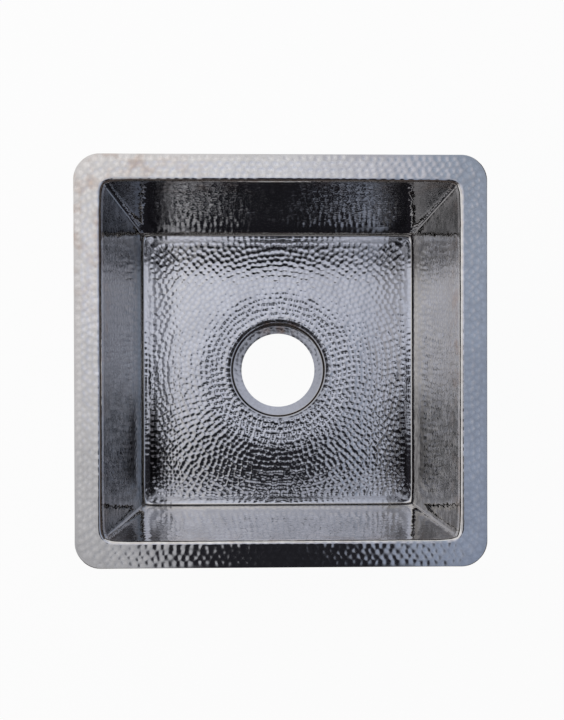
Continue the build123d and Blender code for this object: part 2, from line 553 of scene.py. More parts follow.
blows = {
    "ringPitch": 6.1,
    "firstRing": 60.6,
    "rowInset": 5.2,      # from the crease to the row beside it on the field
    "marginInset": 0.8,   # on the margin that row is this share of it away
    "ringsInset": 1.8,    # and the rings keep this many of it away
    "rowCorner": 0.5,     # how much of it the corners of both rows are tighter
    "wallPitch": 5.9,
    "flangeRows": (170.8, 175.8, 180.8, 185.8),    # half widths
    "flangePitch": 7.3,
    "rollInset": 0.6,     # from the wall's face and from the flange's to the row along the roll
    "rollPhase": 3.0,
    "ledgeRings": (47.4, 52.8),
    "brimRings": 3,       # so many of the floor's first rings lie close enough to mark the brim
    "seed": 11,
}
linePoints = {
    "cornerShares": (0.33, 0.67),
    "loopSide": 150,      # along each straight of a loop
    "flangeSide": 600,    # along a side of the flange
    "flangeCorner": 12,
    "ringLeast": 48,
    "ringStep": 2.0,      # millimetres
}


def pointsBefore(points, distance):
    # How many points of a line come before a distance along it
    walked, passed = 0.0, 0
    while walked < distance:
        walked += (points[passed + 1] - points[passed]).length
        passed += 1
    return passed


def loopLine(half, corner, z, lean, phase):
    # A closed loop round the bowl, which starts that far along from the back left corner
    near, far = linePoints["cornerShares"]
    columns = []
    for side in range(4):
        columns += [(-side, -1.0, t, 0.0) for t in (-1.0, -far, -near)]
        columns += [(-side, s, 0.0, 0.0) for s in spread(-1.0, 1.0, linePoints["loopSide"])]
        columns += [(-side, 1.0, t, 0.0) for t in (near, far)]
    points = [skinPoint((half, corner, z, lean), column, 0.0)[0] for column in columns]
    cut = pointsBefore(points, phase)
    return points[cut:] + points[:cut], True


def sideLine(side, half, corner, z, pitch, shift):
    # A line along one side of the flange, cut so that a blow falls that far past the middle of the side
    arc, straight = linePoints["flangeCorner"], linePoints["flangeSide"]
    columns = [(side, -1.0, t, 0.0) for t in spread(-1.0, 0.0, arc)[:-1]]
    columns += [(side, s, 0.0, 0.0) for s in spread(-1.0, 1.0, straight)]
    columns += [(side, 1.0, t, 0.0) for t in spread(0.0, 1.0, arc)[1:]]
    points = [skinPoint((half, corner, z, quarterTurn), column, 0.0)[0] for column in columns]
    middle = arc + straight // 2
    toMiddle = sum((b - a).length for a, b in zip(points[:middle], points[1:middle + 1]))
    return points[pointsBefore(points, (toMiddle + shift) % pitch):], False


def ringRuns(r, z, limit, start):
    # The ring's arcs that lie inside the square field, each with whether it is the whole ring
    count = max(linePoints["ringLeast"], round(math.tau * r / linePoints["ringStep"]))
    angles = [math.tau * (i / count + start) for i in range(count)]
    ring = [Vector((r * math.cos(angle), r * math.sin(angle), z)) for angle in angles]
    if r < limit:
        return [(ring, True)]
    runs, run = [], []
    for place in ring + ring[:1]:
        if max(abs(place.x), abs(place.y)) < limit:
            run.append(place)
        elif run:
            runs.append((run, False))
            run = []
    return runs + ([(run, False)] if run else [])


def lineObject(name, lines):
    curve = bpy.data.curves.new(name, "CURVE")
    curve.dimensions = "3D"
    for line, closed in lines:
        if len(line) > 1:
            spline = curve.splines.new("POLY")
            spline.use_cyclic_u = closed
            spline.points.add(len(line) - 1)
            for point, place in zip(spline.points, line):
                point.co = (*(place * mm), 1.0)
    made = bpy.data.objects.new(name, curve)
    bpy.context.scene.collection.objects.link(made)
    made.hide_render = True
    return made


chance = random.Random(blows["seed"])
floorLines = []
ringCount = int((creaseHalf * math.sqrt(2) - blows["firstRing"]) / blows["ringPitch"])
ringLimit = creaseHalf - blows["ringsInset"] * blows["rowInset"]
for ring in range(ringCount + 1):
    ringR = blows["firstRing"] + ring * blows["ringPitch"]
    floorLines += ringRuns(ringR, floorHeight(ringR, 0), ringLimit, chance.random())
seatLines = floorLines[:blows["brimRings"]]
for r in blows["ledgeRings"]:
    seatLines += ringRuns(r, ledgeZ, brimR, chance.random())
for inset in (blows["rowInset"], -blows["marginInset"] * blows["rowInset"]):
    corner = floorPan["creaseCorner"] - blows["rowCorner"] * inset
    phase = blows["ringPitch"] * chance.random()
    floorLines.append(loopLine(creaseHalf - inset, corner, floorZ, quarterTurn, phase))
wallLines = []
for row in range(1, int((rimZ - footZ) / blows["wallPitch"])):
    rowZ = footZ + row * blows["wallPitch"]
    phase = blows["wallPitch"] * chance.random()
    wallLines.append(loopLine(wallHalf(rowZ), wallHalf(rowZ) - cornerCentre, rowZ, draft, phase))
flangeLines = []
for row, half in enumerate(blows["flangeRows"]):
    share = (half - wallHalf(rimZ)) / (rimHalf - wallHalf(rimZ))
    corner = bowl["cornerRadius"] + share * (rim["outerCorner"] - bowl["cornerRadius"])
    shift = blows["flangePitch"] / 2 * (row % 2)
    flangeLines += [sideLine(side, half, corner, rimZ, blows["flangePitch"], shift) for side in range(4)]
rollHalf, rollZ = wallHalf(rimZ) + blows["rollInset"], rimZ - blows["rollInset"]
rollLines = [loopLine(rollHalf, rollHalf - cornerCentre, rollZ, eighthTurn, blows["rollPhase"])]
floorBlows = lineObject("blow_lines_floor", floorLines)
seatBlows = lineObject("blow_lines_seat", seatLines)
wallBlows = lineObject("blow_lines_walls", wallLines)
flangeBlows = lineObject("blow_lines_flange", flangeLines)
rollBlows = lineObject("blow_line_roll", rollLines)
print("blow lines laid:", len(floorLines), "on the floor,", len(wallLines), "on the walls")

# Geometry Nodes

markShape = {
    "wanderSize": 6.0,    # millimetres over which the outline of a mark strays
    "hollowPower": 2.2,   # how steeply a crisp mark climbs to its rim
    "ridgeCap": 1.6,      # and how high it may climb past that
    "sharpFrom": 0.75,    # edges of the sheet that turn by more than this stay sharp
}


def addNode(tree, kind, inputs=None, **settings):
    # One node with its settings. Each input takes a value, a socket, or a node's first output
    node = tree.nodes.new(kind)
    for name, value in settings.items():
        setattr(node, name, value)
    for name, value in (inputs or {}).items():
        if isinstance(value, bpy.types.Node):
            value = value.outputs[0]
        if isinstance(value, bpy.types.NodeSocket):
            tree.links.new(value, node.inputs[name])
        else:
            node.inputs[name].default_value = value
    return node


def newTree(name, inputs):
    tree = bpy.data.node_groups.new(name, "GeometryNodeTree")
    tree.interface.new_socket("Geometry", in_out="INPUT", socket_type="NodeSocketGeometry")
    for label, kind in inputs.items():
        tree.interface.new_socket(label, in_out="INPUT", socket_type="NodeSocket" + kind)
    tree.interface.new_socket("Geometry", in_out="OUTPUT", socket_type="NodeSocketGeometry")
    return tree, partial(addNode, tree)


def readPoints(add, **kinds):
    # What the body has stored at its points
    read = "GeometryNodeInputNamedAttribute"
    return [add(read, {"Name": name}, data_type=kind) for name, kind in kinds.items()]


def endTree(add, geometry, material):
    whole = add("GeometryNodeRealizeInstances", {"Geometry": geometry})
    done = add("GeometryNodeSetMaterial", {"Geometry": whole, "Material": material})
    add("NodeGroupOutput", {"Geometry": done})


def hammerTree():
    # Each blow sinks a shallow round mark, and the nearest blow shapes every point. Marks with softness 0
    # meet in crisp ridges, and those with softness 1 have rims that the wheel has rounded
    tree, add = newTree("hammer_marks", {
        "Blow Lines": "Object", "Pitch": "Float", "Jitter": "Float", "Wander": "Float",
        "Mark Radius": "Float", "Mark Depth": "Float", "Softness": "Float", "Ridge Rounding": "Int",
        "Seed": "Int", "Material": "Material",
    })
    given = add("NodeGroupInput").outputs
    skin, facing = readPoints(add, skin="FLOAT_VECTOR", facing="FLOAT_VECTOR")
    marked, before = readPoints(add, marked="FLOAT", hollow="FLOAT")
    # Blows along the lines
    lines = add("GeometryNodeObjectInfo", {"Object": given["Blow Lines"]})
    placed = add("GeometryNodeCurveToPoints", {"Curve": lines.outputs["Geometry"], "Length": given["Pitch"]},
                 mode="LENGTH")
    least = add("ShaderNodeMath", {0: given["Jitter"], 1: -1.0}, operation="MULTIPLY")
    stray = add("FunctionNodeRandomValue", {"Min": least, "Max": given["Jitter"], "Seed": given["Seed"]},
                data_type="FLOAT_VECTOR")
    struck = add("GeometryNodeSetPosition",
                 {"Geometry": placed.outputs["Points"], "Offset": stray.outputs["Value"]})
    # Distance to the nearest blow, in mark radii, measured from a place that strays a little
    uneven = add("ShaderNodeTexNoise",
                 {"Vector": skin, "Scale": 1 / (markShape["wanderSize"] * mm), "Detail": 1.0})
    centred = add("ShaderNodeVectorMath", {0: uneven.outputs["Color"], 1: (0.5, 0.5, 0.5)},
                  operation="SUBTRACT")
    bent = add("ShaderNodeVectorMath", {0: centred, "Scale": given["Wander"]}, operation="SCALE")
    seen = add("ShaderNodeVectorMath", {0: skin, 1: bent}, operation="ADD")
    near = add("GeometryNodeProximity", {0: struck, 2: seen}, target_element="POINTS")
    share = add("ShaderNodeMath", {0: near.outputs["Distance"], 1: given["Mark Radius"]}, operation="DIVIDE")
    # Depth there, from -1 in the middle of a mark to 0 at its radius
    bowed = add("ShaderNodeMath", {0: share, 1: markShape["hollowPower"]}, operation="POWER")
    capped = add("ShaderNodeMath", {0: bowed, 1: markShape["ridgeCap"]}, operation="MINIMUM")
    crisp = add("ShaderNodeMath", {0: capped, 1: 1.0}, operation="SUBTRACT")
    sunk = add("ShaderNodeMapRange", {"Value": share, "To Min": -1.0, "To Max": 0.0},
               interpolation_type="SMOOTHSTEP")
    shape = add("ShaderNodeMix", {0: given["Softness"], 2: crisp, 3: sunk}, data_type="FLOAT")
    deep = add("ShaderNodeMath", {0: shape, 1: given["Mark Depth"]}, operation="MULTIPLY")
    rounded = add("GeometryNodeBlurAttribute", {"Value": deep, "Iterations": given["Ridge Rounding"]},
                  data_type="FLOAT")
    amount = add("ShaderNodeMath", {0: rounded.outputs["Value"], 1: marked}, operation="MULTIPLY")
    push = add("ShaderNodeVectorMath", {0: facing, "Scale": amount}, operation="SCALE")
    moved = add("GeometryNodeSetPosition", {"Geometry": given["Geometry"], "Offset": push})
    # The plate reads where the hollows are
    middle = add("ShaderNodeMath", {0: sunk, 1: -1.0}, operation="MULTIPLY")
    shown = add("ShaderNodeMath", {0: middle, 1: marked}, operation="MULTIPLY")
    most = add("ShaderNodeMath", {0: shown, 1: before}, operation="MAXIMUM")
    kept = add("GeometryNodeStoreNamedAttribute", {"Geometry": moved, "Value": most, "Name": "hollow"},
               data_type="FLOAT")
    angle = add("GeometryNodeInputMeshEdgeAngle").outputs["Unsigned Angle"]
    sharp = add("FunctionNodeCompare", {0: angle, 1: markShape["sharpFrom"]},
                data_type="FLOAT", operation="GREATER_THAN")
    soft = add("GeometryNodeSetShadeSmooth", {"Geometry": kept})
    edged = add("GeometryNodeSetShadeSmooth",
                {"Geometry": soft, "Selection": sharp.outputs["Result"], "Shade Smooth": False},
                domain="EDGE")
    endTree(add, edged, given["Material"])
    return tree


def beadTree():
    # The hidden side of a weld swells to a crown with the ripples that the torch leaves
    tree, add = newTree("weld_ripples", {
        "Crown": "Float", "Ripple Pitch": "Float", "Ripple Height": "Float", "Face Crown": "Float",
        "Material": "Material",
    })
    given = add("NodeGroupInput").outputs
    across, hidden, facing = readPoints(add, across="FLOAT", hidden="FLOAT", facing="FLOAT_VECTOR")
    place = add("GeometryNodeInputPosition")
    # Section of the crown: 1 in the middle of the bead and 0 at both edges
    square = add("ShaderNodeMath", {0: across, 1: across}, operation="MULTIPLY")
    arch = add("ShaderNodeMath", {0: 1.0, 1: square}, operation="SUBTRACT")
    crown = add("ShaderNodeMath", {0: arch, 1: given["Crown"]}, operation="MULTIPLY")
    # Ripples along it, which lag towards both edges
    total = add("ShaderNodeVectorMath", {0: place, 1: (1.0, 1.0, 1.0)}, operation="DOT_PRODUCT")
    step = add("ShaderNodeMath", {0: total.outputs["Value"], 1: given["Ripple Pitch"]}, operation="DIVIDE")
    phase = add("ShaderNodeMath", {0: step, 1: math.tau, 2: square}, operation="MULTIPLY_ADD")
    wave = add("ShaderNodeMath", {0: phase}, operation="SINE")
    ripple = add("ShaderNodeMath", {0: wave, 1: given["Ripple Height"]}, operation="MULTIPLY")
    shaped = add("ShaderNodeMath", {0: ripple, 1: arch, 2: crown}, operation="MULTIPLY_ADD")
    shown = add("ShaderNodeMath", {0: shaped, 1: hidden}, operation="MULTIPLY")
    # The bowl side keeps only what planishing has left
    bowlSide = add("ShaderNodeMath", {0: 1.0, 1: hidden}, operation="SUBTRACT")
    faceArch = add("ShaderNodeMath", {0: arch, 1: bowlSide}, operation="MULTIPLY")
    faced = add("ShaderNodeMath", {0: faceArch, 1: given["Face Crown"]}, operation="MULTIPLY")
    outward = add("ShaderNodeMath", {0: faced, 1: shown}, operation="SUBTRACT")
    push = add("ShaderNodeVectorMath", {0: facing, "Scale": outward}, operation="SCALE")
    moved = add("GeometryNodeSetPosition", {"Geometry": given["Geometry"], "Offset": push})
    endTree(add, moved, given["Material"])
    return tree


hammerMarks = hammerTree()
weldRipples = beadTree()


def finishPiece(body, node, slot, *work):
    # Runs each tree of the work with its values over the body, and keeps the mesh that they make,
    # without the modifiers, as the piece that stands for the solid
    for tree, values in work:
        modifier = body.modifiers.new(tree.name, "NODES")
        modifier.node_group = tree
        for item in tree.interface.items_tree:
            if item.in_out == "INPUT" and item.name in values:
                modifier[item.identifier] = values[item.name]
    evaluated = body.evaluated_get(bpy.context.evaluated_depsgraph_get())
    made = bpy.data.meshes.new_from_object(evaluated)
    body.modifiers.clear()
    plain = body.data
    body.data = made
    bpy.data.meshes.remove(plain)
    for label in ("skin", "facing", "marked", "across"):
        made.attributes.remove(made.attributes[label])
    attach(body, "root")
    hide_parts(node)


# Materials

nickel = {
    "buffed": "#E3E2E2",
    "bowlShade": "#A09F9F",      # painted shade inside the bowl
    "copper": "#B48E72",      # shows through where the plate is rubbed thin
    # dark tone: painted shade beside the floor's side creases, and a darker step in the strainer seat
    "darkTone": "#2E2622",
    "cloudSize": 34.0,        # millimetres, as all sizes here
    "clouds": (0.35, 0.7),    # noise between which the tone changes
    "cloudDepth": 0.2,
    "patchSize": 17.0,
    "patches": (0.47, 0.66),      # noise between which copper comes in
    "blushCore": 0.3,             # share of a warm patch's reach that is warm in full
    "ridgeShade": 0.86,           # painted shade on the ridges between the hammer marks, beside the lighter hollows
    "hollowFrom": 0.8,
    "unshadedMiddle": 38.0,          # where along a side wall the painted shade is least, and how far to each side
    "unshadedHalf": (35.0, 95.0),
    "endShadeSize": 10.0,
    "endShadeRoughness": 0.65,
    "endShadeMottles": (0.56, 0.44),      # noise between which the patches of painted shade come in
    "smudgeLeast": 0.5,
    "grainSize": 2.4,
    "grainHeight": 0.01,
    "grain": (0.3, 0.7),          # noise between which the roughness changes
    "hazeShares": (0.7, 1.3),     # the roughness at both, as shares of its mean
}


def hexColour(text):
    channels = [int(text[i:i + 2], 16) / 255 for i in (1, 3, 5)]
    linear = [c / 12.92 if c <= 0.04045 else ((c + 0.055) / 1.055) ** 2.4 for c in channels]
    return (*linear, 1.0)


def newMaterial(name):
    made = bpy.data.materials.new(name)
    made.use_nodes = True
    made.node_tree.nodes.clear()
    return made, partial(addNode, made.node_tree)


def nickelPlate(name, bowlShade, blush, haze, smudge=0.0, blushPlace=(0.0, 0.0, 0.0), blushReach=0.001):
    # Bright nickel plate on hammered copper, buffed: a near neutral mirror that the marks break up.
    # The second argument darkens the tone, as painted shade inside the bowl; blush is how much copper shows,
    # haze is the mean roughness;
    # the fifth is the patchy painted shade towards both ends of a side wall; and blushPlace is the middle of
    # a warm patch
    made, add = newMaterial(name)
    at = add("ShaderNodeTexCoord").outputs["Object"]
    stored = {}
    for label in ("rubbed", "hollow", "hidden", "darkTone"):
        read = add("ShaderNodeAttribute", attribute_type="GEOMETRY", attribute_name=label)
        stored[label] = read.outputs["Fac"]
    # Tone of the plate: darkened by painted shade inside the bowl, and in clouds of random tone
    cloud = add("ShaderNodeTexNoise", {"Vector": at, "Scale": 1 / (nickel["cloudSize"] * mm), "Detail": 3.0})
    low, high = nickel["clouds"]
    shadeMix = add("ShaderNodeMapRange",
                {"Value": cloud, "From Min": low, "From Max": high, "To Min": bowlShade,
                 "To Max": min(1.0, bowlShade + nickel["cloudDepth"])})
    plate = add("ShaderNodeMix", {0: shadeMix, 6: hexColour(nickel["buffed"]), 7: hexColour(nickel["bowlShade"])},
                data_type="RGBA")
    # Copper in patches, where the plate is rubbed thin
    patch = add("ShaderNodeTexNoise", {"Vector": at, "Scale": 1 / (nickel["patchSize"] * mm), "Detail": 4.0})
    low, high = nickel["patches"]
    spots = add("ShaderNodeMapRange", {"Value": patch, "From Min": low, "From Max": high})
    away = add("ShaderNodeVectorMath", {0: at, 1: blushPlace}, operation="DISTANCE")
    near = add("ShaderNodeMapRange",
               {"Value": away.outputs["Value"], "From Min": blushReach,
                "From Max": nickel["blushCore"] * blushReach}, interpolation_type="SMOOTHSTEP")
    warm = add("ShaderNodeMath", {0: near, 1: stored["rubbed"]}, operation="MAXIMUM")
    spotted = add("ShaderNodeMath", {0: spots, 1: warm}, operation="MULTIPLY")
    shown = add("ShaderNodeMath", {0: spotted, 1: blush}, operation="MULTIPLY")
    blushed = add("ShaderNodeMix", {0: shown, 6: plate.outputs[2], 7: hexColour(nickel["copper"])},
                  data_type="RGBA")
    # Painted shade: ridges between the marks are a little darker than the hollows
    shade = add("ShaderNodeMapRange",
                {"Value": stored["hollow"], "From Min": 0.0, "From Max": nickel["hollowFrom"],
                 "To Min": nickel["ridgeShade"], "To Max": 1.0})
    ridgeShaded = add("ShaderNodeVectorMath", {0: blushed.outputs[2], "Scale": shade}, operation="SCALE")
    # Patchy painted shade towards both ends of a side wall, on the bowl side only
    along = add("ShaderNodeSeparateXYZ", {"Vector": at}).outputs["Y"]
    fromMiddle = add("ShaderNodeMath", {0: along, 1: nickel["unshadedMiddle"] * mm}, operation="SUBTRACT")
    either = add("ShaderNodeMath", {0: fromMiddle}, operation="ABSOLUTE")
    bowlSide = add("ShaderNodeMapRange", {"Value": stored["hidden"], "To Min": smudge, "To Max": 0.0})
    low, high = nickel["unshadedHalf"]
    towardsEnd = add("ShaderNodeMapRange",
                     {"Value": either, "To Max": bowlSide, "From Min": low * mm, "From Max": high * mm},
                     interpolation_type="SMOOTHSTEP")
    endShadeMottle = add("ShaderNodeTexNoise",
                {"Vector": at, "Scale": 1 / (nickel["endShadeSize"] * mm), "Detail": 5.0,
                 "Roughness": nickel["endShadeRoughness"]})
    low, high = nickel["endShadeMottles"]
    blotch = add("ShaderNodeMapRange",
                 {"Value": endShadeMottle, "From Min": low, "From Max": high, "To Min": nickel["smudgeLeast"]})
    paintedShade = add("ShaderNodeMath", {0: towardsEnd, 1: blotch}, operation="MULTIPLY")
    left = add("ShaderNodeMath", {0: 1.0, 1: paintedShade}, operation="SUBTRACT")
    endShaded = add("ShaderNodeVectorMath", {0: ridgeShaded, "Scale": left}, operation="SCALE")
    # Darkened by the stored dark tone: painted shade beside the floor's side creases, and a darker step in
    # the seat
    darkened = add("ShaderNodeMix", {0: stored["darkTone"], 6: endShaded, 7: hexColour(nickel["darkTone"])},
                 data_type="RGBA")
    # Fine grain that the wheel leaves
    grain = add("ShaderNodeTexNoise", {"Vector": at, "Scale": 1 / (nickel["grainSize"] * mm), "Detail": 4.0})
    low, high = nickel["grain"]
    least, most = nickel["hazeShares"]
    rough = add("ShaderNodeMapRange",
                {"Value": grain, "From Min": low, "From Max": high, "To Min": least * haze,
                 "To Max": most * haze})
    bump = add("ShaderNodeBump", {"Height": grain, "Strength": 1.0, "Distance": nickel["grainHeight"] * mm})
    shader = add("ShaderNodeBsdfPrincipled",
                 {"Base Color": darkened.outputs[2], "Roughness": rough, "Normal": bump, "Metallic": 1.0})
    add("ShaderNodeOutputMaterial", {"Surface": shader})
    return made


# The flange and the seat have a warm patch each, where the photograph shows copper through the plate
flangePlate = nickelPlate("buffed_nickel_flange", bowlShade=0.0, blush=0.4, haze=0.1,
                          blushPlace=(-0.18, 0.16, 0.188), blushReach=0.14)
seatPlate = nickelPlate("buffed_nickel_seat", bowlShade=0.3, blush=0.9, haze=0.08,
                        blushPlace=(0.0, 0.056, 0.008), blushReach=0.03)
floorPlate = nickelPlate("buffed_nickel_floor", bowlShade=0.0, blush=0.3, haze=0.08)
# The walls are darkened by painted shade, the left one most, and mirror more sharply, and the side walls
# have patchy painted shade towards their ends
wallPlates = {
    "back": nickelPlate("nickel_painted_shade_back", bowlShade=0.2, blush=0.5, haze=0.045),
    "left": nickelPlate("nickel_painted_shade_left", bowlShade=1.0, blush=0.5, haze=0.045, smudge=0.95),
    "front": nickelPlate("nickel_painted_shade_front", bowlShade=0.2, blush=0.3, haze=0.045),
    "right": nickelPlate("nickel_painted_shade_right", bowlShade=0.35, blush=0.6, haze=0.045, smudge=0.75),
}
beadPlate = nickelPlate("planished_weld_under_nickel", bowlShade=0.35, blush=0.5, haze=0.1)
print("materials made")

# Pieces

# Hammer marks of each surface, in millimetres
strikes = {
    "floor": {"Pitch": 6.5, "Jitter": 1.3, "Wander": 1.6, "Mark Radius": 3.25, "Mark Depth": 0.17,
              "Softness": 0.0, "Ridge Rounding": 0, "Seed": 3},
    "wall": {"Pitch": 6.3, "Jitter": 1.3, "Wander": 2.5, "Mark Radius": 3.3, "Mark Depth": 0.11,
             "Softness": 0.5, "Ridge Rounding": 1, "Seed": 5},
    "flange": {"Pitch": blows["flangePitch"], "Jitter": 1.4, "Wander": 2.0, "Mark Radius": 3.7,
               "Mark Depth": 0.19, "Softness": 0.8, "Ridge Rounding": 0, "Seed": 7},
    "roll": {"Pitch": 8.4, "Jitter": 2.0, "Wander": 2.5, "Mark Radius": 4.2, "Mark Depth": 0.16,
             "Softness": 0.5, "Ridge Rounding": 1, "Seed": 9},
}
markLengths = ("Pitch", "Jitter", "Wander", "Mark Radius", "Mark Depth")


def hammer(surface, lines, plate):
    values = {name: value * mm if name in markLengths else value for name, value in strikes[surface].items()}
    return hammerMarks, {"Blow Lines": lines, "Material": plate, **values}


def ripple(faceCrown, plate):
    return weldRipples, {"Crown": sheet["weldCrown"] * mm, "Ripple Pitch": sheet["ripplePitch"] * mm,
                         "Ripple Height": sheet["rippleHeight"] * mm, "Face Crown": faceCrown * mm,
                         "Material": plate}


gap = sheet["weldGap"]
wallRows = wallStations(wallLowZ, wallHighZ, bowl["grid"])
rimRows = rimStations()
struckWall = hammer("wall", wallBlows, wallPlates["front"])
struckFloor = hammer("floor", floorBlows, floorPlate)
struckRim = (hammer("flange", flangeBlows, flangePlate), hammer("roll", rollBlows, flangePlate))
seamRipple = ripple(sheet["faceCrown"], beadPlate)

for name, side in sides.items():
    wallColumns = sideColumns(side, bowl["grid"], bowl["cornerRadius"])
    body = sheetBody("hammered_wall_" + name, wallRows, wallColumns, gap)
    finishPiece(body, "wall_" + name, "hammered_sheet", hammer("wall", wallBlows, wallPlates[name]))
print("walls hammered")

for name, side in sides.items():
    rimColumns = sideColumns(side, rim["grid"], rim["outerCorner"])
    body = sheetBody("hammered_rim_" + name, rimRows, rimColumns, gap)
    finishPiece(body, "rim_" + name, "hammered_sheet", struckWall, *struckRim)
print("rim hammered")

body = floorPanBody("hammered_floor_pan")
finishPiece(body, "floor_pan", "hammered_sheet", struckWall, struckFloor)
print("floor pan hammered")

ring = ringColumns(seat["roundFaces"])
body = sheetBody("strainer_seat", seatStations(), ring, closed=True)
finishPiece(body, "drain_seat", "hammered_sheet", hammer("floor", seatBlows, seatPlate))
body = sheetBody("strainer_seat_weld", drainWeldStations(), ring, closed=True, beadRuns="along")
finishPiece(body, "drain_weld", "weld_bead", struckFloor, ripple(0.0, floorPlate))
print("strainer seat made")

for name, side in corners.items():
    body = sheetBody("corner_seam_" + name, wallRows, beadColumns(side), gap, beadRuns="up")
    finishPiece(body, "corner_weld_" + name, "weld_bead", seamRipple)
    body = sheetBody("rim_mitre_seam_" + name, rimRows, beadColumns(side), gap)
    finishPiece(body, "rim_miter_weld_" + name, "weld_bead", *struckRim)
floorSeamRows = wallStations(upstandZ, wallLowZ, sheet["beadGrid"])
rimSeamRows = wallStations(wallHighZ, lipZ, sheet["beadGrid"])
for name, side in sides.items():
    seamColumns = sideColumns(side, bowl["grid"], bowl["cornerRadius"])
    for edge, seamRows in (("floor", floorSeamRows), ("rim", rimSeamRows)):
        body = sheetBody(f"{edge}_seam_{name}", seamRows, seamColumns, beadRuns="along")
        finishPiece(body, f"{edge}_weld_{name}", "weld_bead", struckWall, ripple(0.0, wallPlates[name]))
print("welds made")

for lines in (floorBlows, seatBlows, wallBlows, flangeBlows, rollBlows):
    bpy.data.objects.remove(lines)

# Studio: white paper floor and surroundings, a wide silk overhead, and dark cloth in front and to the
# right, which gives the polished metal something dark to show

studio = {
    "floorSize": 12.0,        # metres, as all lengths of this dictionary
    "floorDrop": 0.0005,      # keeps the paper just clear of the sink
    "floorColour": "#F4F4F2",
    "floorShading": 0.05,     # how much of its own shading the paper keeps for the camera
    "white": "#FFFFFF",
    "silkHeight": 2.0,
    "silkHalf": 3.4,
    "silkFront": -1.4,        # where the silk ends, in front and to the right
    "silkRight": 1.6,
    "silkEdge": 0.1,          # half the width over which it ends
    "silkAcross": (-0.7, 0.8),    # between these the tones run from left to right
    "silkDeep": (-0.7, 0.9),      # and from front to back
    "frontTones": {0.0: "#C4C4C7", 1.0: "#97A2B8"},
    "backTones": {0.0: "#FCF9F8", 0.37: "#F1F0F1", 0.57: "#E6E6EA", 0.78: "#D0D1DB", 1.0: "#A8B3C5"},
    "skyPlace": (-0.15, 0.3, 0.0),    # a window's daylight on the silk, whose factors turn it bluer
    "skyReach": (0.85, 0.2),
    "skyTint": (0.95, 0.99, 1.1, 1.0),
    "wrinkleSize": 0.13,      # slack in the silk, which stops the marks from all showing one tone
    "wrinkles": 0.15,
    "wrinkleNoise": (0.3, 0.7),
    "flagMiddle": -0.05,      # black flag under the silk, in front of the camera, with a rounded back edge
    "flagLean": -0.13,
    "flagHalf": 0.37,
    "flagSplay": 0.09,        # how much wider each side gets for each metre towards the front
    "flagBack": -0.15,
    "flagRound": 0.2,         # length of the rounded part
    "flagSoft": (0.25, 0.3),      # softness of its edge in the middle and at the right
    "flagSoftAt": 0.8,
    "flagColour": "#242429",
    "lensPlace": (0.05, 0.03, 1.95),    # the camera's rig, which every mark round the drain shows small
    "lensHalf": (0.17, 0.13),
    "lensEdge": (1.2, 0.8),   # shares of those, between which it fades
    "lensCard": 1.3,          # and the share that its card covers
    "lensColour": "#1D1D1F",
    "clothReach": 1.9,
    "clothLow": 0.02,
    "clothColour": "#524B48",
    "beyondColour": "#4B4545",    # the room beyond the silk
}


def card(name, points, material, seen=False):
    made = bpy.data.meshes.new(name)
    made.from_pydata(points, [], [(0, 1, 2, 3)])
    made.materials.append(material)
    body = bpy.data.objects.new(name, made)
    bpy.context.scene.collection.objects.link(body)
    body.visible_camera = seen


def levelCard(x, y, z, halfX, halfY):
    return [(x + a * halfX, y + b * halfY, z) for a, b in ((-1, -1), (1, -1), (1, 1), (-1, 1))]


def uprightCard(start, end, low, high):
    return [(*start, low), (*end, low), (*end, high), (*start, high)]


def paperFloor():
    # Matt white paper: white to the camera and in the metal, with part of its own shading left
    made, add = newMaterial("white_paper")
    seen = add("ShaderNodeLightPath").outputs
    either = add("ShaderNodeMath", {0: seen["Is Camera Ray"], 1: seen["Is Glossy Ray"]}, operation="MAXIMUM")
    watched = add("ShaderNodeMath", {0: either, 1: seen["Is Transmission Ray"]}, operation="MAXIMUM")
    glow = add("ShaderNodeEmission", {"Strength": watched, "Color": hexColour(studio["white"])})
    matt = add("ShaderNodeBsdfDiffuse", {"Color": hexColour(studio["floorColour"])})
    shaded = add("ShaderNodeMath", {0: watched, 1: studio["floorShading"] - 1, 2: 1.0},
                 operation="MULTIPLY_ADD")
    mixed = add("ShaderNodeMixShader", {0: shaded, 1: glow, 2: matt})
    beneath = add("ShaderNodeNewGeometry").outputs["Backfacing"]
    clear = add("ShaderNodeBsdfTransparent")
    both = add("ShaderNodeMixShader", {0: beneath, 1: mixed, 2: clear})
    add("ShaderNodeOutputMaterial", {"Surface": both})
    return made


